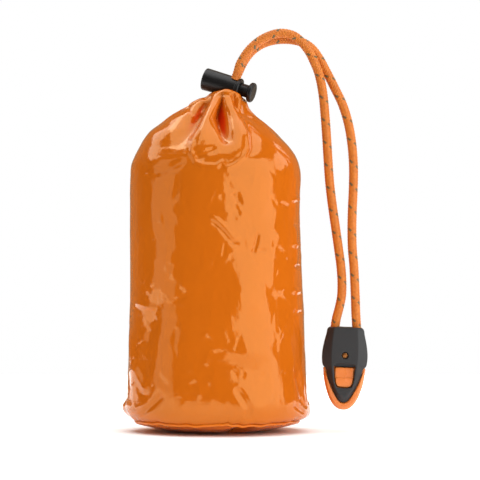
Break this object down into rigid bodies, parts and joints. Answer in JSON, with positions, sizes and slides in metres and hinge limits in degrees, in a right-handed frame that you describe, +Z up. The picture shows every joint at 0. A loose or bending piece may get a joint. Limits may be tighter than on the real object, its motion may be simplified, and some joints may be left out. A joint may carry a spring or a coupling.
{
  "type": "folded emergency sleeping bag in a drawstring stuff sack",
  "caption": "Packed emergency sleeping bag: a filled nylon stuff sack on a round base, gathered into a barrel cord lock, with a doubled drawcord and a whistle.",
  "frame": {"origin": "on the floor, under the middle of the sack's box", "axes": "+Z up along the sack, +X to the right as seen from the front, the front faces -Y"},
  "size_m": [0.1134, 0.076, 0.1862],
  "materials": {
    "sack_nylon": "glossy coated ripstop nylon",
    "base_nylon": "glossy coated ripstop nylon",
    "lock_plastic": "satin moulded acetal",
    "button_plastic": "satin moulded acetal",
    "cord_braid": "braided polyester with reflective tracers",
    "whistle_black": "fine-textured moulded plastic",
    "whistle_orange": "smooth moulded plastic",
    "screw_brass": "worn brass"
  },
  "bodies": {
    "bag": {"sack": "sack_nylon", "base_panel": "base_nylon", "lock_barrel": "lock_plastic", "strand_front": "cord_braid", "strand_rear": "cord_braid", "whistle_shell": "whistle_black", "whistle_body": "whistle_orange", "whistle_screw": "screw_brass"},
    "button": {"lock_button": "button_plastic"}
  },
  "joints": [
    {"name": "button_press", "type": "slide", "parent": "bag", "child": "button", "axis": [-0.9264, 0.2601, 0.2721], "range_m": [0, 0.003], "stiffness_N_per_m": 300, "springref_m": -0.003}
  ]
}
